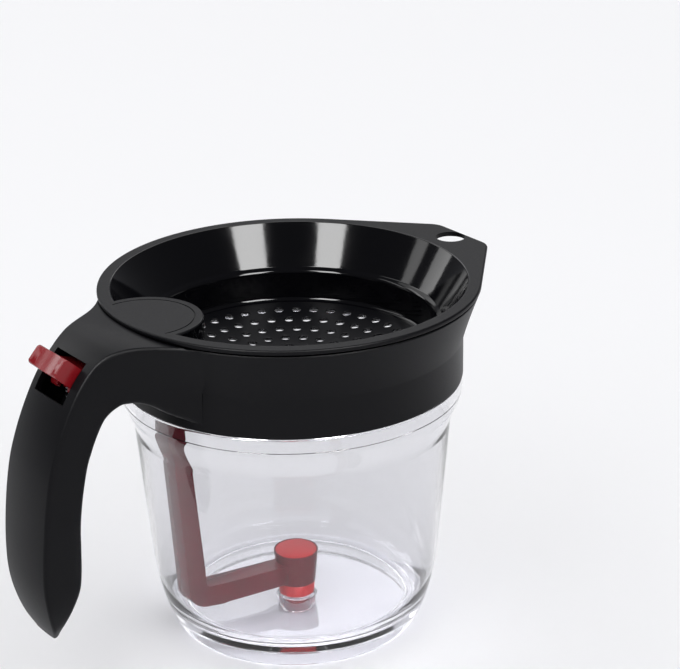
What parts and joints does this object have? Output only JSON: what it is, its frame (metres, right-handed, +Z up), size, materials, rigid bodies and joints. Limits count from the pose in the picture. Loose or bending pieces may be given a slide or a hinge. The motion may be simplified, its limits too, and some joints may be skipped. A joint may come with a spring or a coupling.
{
  "type": "gravy fat separator",
  "caption": "Clear fat separator jug with a black collar and handle, a red thumb trigger that lifts a stopper from a drain in its floor, and a lift-off black strainer with a hanging tab.",
  "frame": {"origin": "centre of the ring that the cup stands on, on the table", "axes": "+X from the cup's axis to the strainer's hanging tab, with the handle to -X; +Y the far side of the picture; +Z up"},
  "size_m": [0.2149, 0.152, 0.1461],
  "materials": {
    "clear_plastic": "clear polished copolyester",
    "clear_silicone": "translucent silicone",
    "black_satin_plastic": "satin black nylon",
    "black_gloss_plastic": "semi-gloss black nylon",
    "red_plastic": "smooth red plastic",
    "red_silicone": "matt red silicone",
    "maroon_plastic": "smooth dark red plastic",
    "steel": "bright stainless steel"
  },
  "bodies": {
    "jug": {"cup": "clear_plastic", "cup_seal_ring": "clear_silicone", "collar_handle": "black_satin_plastic", "handle_inner_cover": "black_satin_plastic", "cover_screws": "steel", "trigger_pin": "steel", "return_spring": "steel"},
    "trigger": {"trigger": "red_plastic"},
    "arm": {"stopper_arm": "maroon_plastic", "link_pin": "steel", "stopper_plug": "red_silicone"},
    "strainer": {"strainer": "black_gloss_plastic"}
  },
  "joints": [
    {"name": "trigger_press", "type": "hinge", "parent": "jug", "child": "trigger", "pos_m": [-0.087, 0, 0.128], "axis": [0, -1, 0], "range_deg": [0, 14], "deforming": ["return_spring"]},
    {"name": "arm_slide", "type": "slide", "parent": "jug", "child": "arm", "axis": [0, 0, 1], "range_m": [0, 0.00753], "stiffness_N_per_m": 160, "springref_m": -0.0105},
    {"name": "strainer_lift", "type": "slide", "parent": "jug", "child": "strainer", "axis": [0, 0, 1], "range_m": [0, 0.05]}
  ],
  "couplings": [
    {"joint": "trigger_press", "follows": "arm_slide", "rad_per_m": 32.411}
  ]
}
